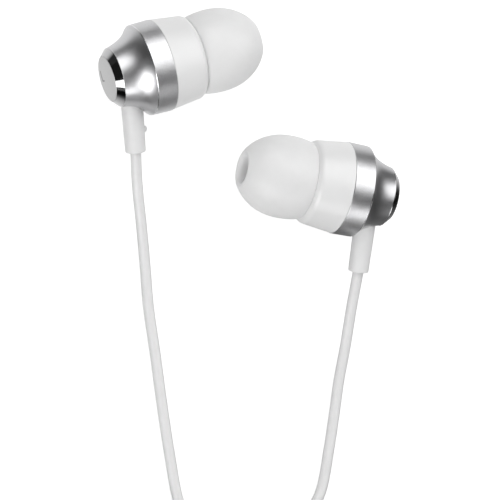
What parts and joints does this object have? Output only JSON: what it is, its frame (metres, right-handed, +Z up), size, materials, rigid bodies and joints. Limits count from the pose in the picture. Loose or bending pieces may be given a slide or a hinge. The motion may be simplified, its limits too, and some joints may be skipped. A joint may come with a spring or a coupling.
{
  "type": "wired in-ear earphones",
  "caption": "Wired in-ear earphones: turned metal and white shells, domed silicone tips, thin Y cable, splitter and jack plug.",
  "frame": {"origin": "on the table under the middle of the two buds' box, the cable left out", "axes": "+X along the buds' row, from the left bud's rear to the right bud's rear; +Y away from the cable; +Z up from the table"},
  "size_m": [0.0533, 0.1514, 0.0136],
  "materials": {
    "satin_aluminium": "bead-blasted satin with a bright chamfer",
    "white_shell": "smooth white, half gloss",
    "silicone": "matt translucent white silicone",
    "relief_rubber": "matt white elastomer",
    "cord_jacket": "satin white TPE",
    "steel_mesh": "perforated stainless steel",
    "black_foam": "open-cell foam",
    "damper_felt": "pressed felt",
    "driver_plastic": "moulded black",
    "gasket_rubber": "soft black",
    "plated_steel": "zinc-plated",
    "magnet": "nickel-plated",
    "copper": "enamelled copper wire",
    "film": "thin polymer film",
    "board": "green solder mask",
    "anchor_plastic": "moulded",
    "tie_plastic": "soft white strap",
    "plug_plastic": "smooth white",
    "plated_contact": "polished plating",
    "insulator": "black moulded"
  },
  "bodies": {
    "earphones": {"left_end_cap": "satin_aluminium", "left_rear_housing": "satin_aluminium", "left_front_housing": "white_shell", "left_nozzle_mesh": "steel_mesh", "left_nozzle_damper": "black_foam", "left_driver_frame": "driver_plastic", "left_driver_yoke": "plated_steel", "left_driver_magnet": "magnet", "left_pole_plate": "plated_steel", "left_driver_gasket": "gasket_rubber", "left_terminal_board": "board", "left_rear_damper": "damper_felt", "left_strain_relief": "relief_rubber", "left_cord_anchor": "anchor_plastic", "left_lead": "cord_jacket", "left_lead_tail": "cord_jacket", "left_lead_coil": "cord_jacket", "left_lead_tie": "tie_plastic", "right_end_cap": "satin_aluminium", "right_rear_housing": "satin_aluminium", "right_front_housing": "white_shell", "right_nozzle_mesh": "steel_mesh", "right_nozzle_damper": "black_foam", "right_driver_frame": "driver_plastic", "right_driver_yoke": "plated_steel", "right_driver_magnet": "magnet", "right_pole_plate": "plated_steel", "right_driver_gasket": "gasket_rubber", "right_terminal_board": "board", "right_rear_damper": "damper_felt", "right_strain_relief": "relief_rubber", "right_cord_anchor": "anchor_plastic", "right_lead": "cord_jacket", "right_lead_tail": "cord_jacket", "right_lead_coil": "cord_jacket", "right_lead_tie": "tie_plastic", "main_cord_start": "cord_jacket", "main_cord_end": "cord_jacket", "main_cord_coil": "cord_jacket", "main_cord_tie": "tie_plastic", "y_splitter": "plug_plastic", "plug_strain_relief": "relief_rubber", "plug_grip": "plug_plastic", "plug_sleeve": "plated_contact", "plug_insulator_rear": "insulator", "plug_ring": "plated_contact", "plug_insulator_front": "insulator", "plug_tip": "plated_contact"},
    "left_tip": {"left_ear_tip": "silicone"},
    "right_tip": {"right_ear_tip": "silicone"},
    "left_moving_coil": {"left_voice_coil": "copper", "left_diaphragm": "film"},
    "right_moving_coil": {"right_voice_coil": "copper", "right_diaphragm": "film"}
  },
  "joints": [
    {"name": "left_tip_pull", "type": "slide", "parent": "earphones", "child": "left_tip", "axis": [0.9673, 0.2538, 0], "range_m": [0, 0.009]},
    {"name": "right_tip_pull", "type": "slide", "parent": "earphones", "child": "right_tip", "axis": [-0.9839, 0.1788, 0], "range_m": [0, 0.009]},
    {"name": "left_coil_travel", "type": "slide", "parent": "earphones", "child": "left_moving_coil", "axis": [0.9673, 0.2538, 0], "range_m": [-0.0002, 0.0002], "stiffness_N_per_m": 300},
    {"name": "right_coil_travel", "type": "slide", "parent": "earphones", "child": "right_moving_coil", "axis": [-0.9839, 0.1788, 0], "range_m": [-0.0002, 0.0002], "stiffness_N_per_m": 300}
  ]
}
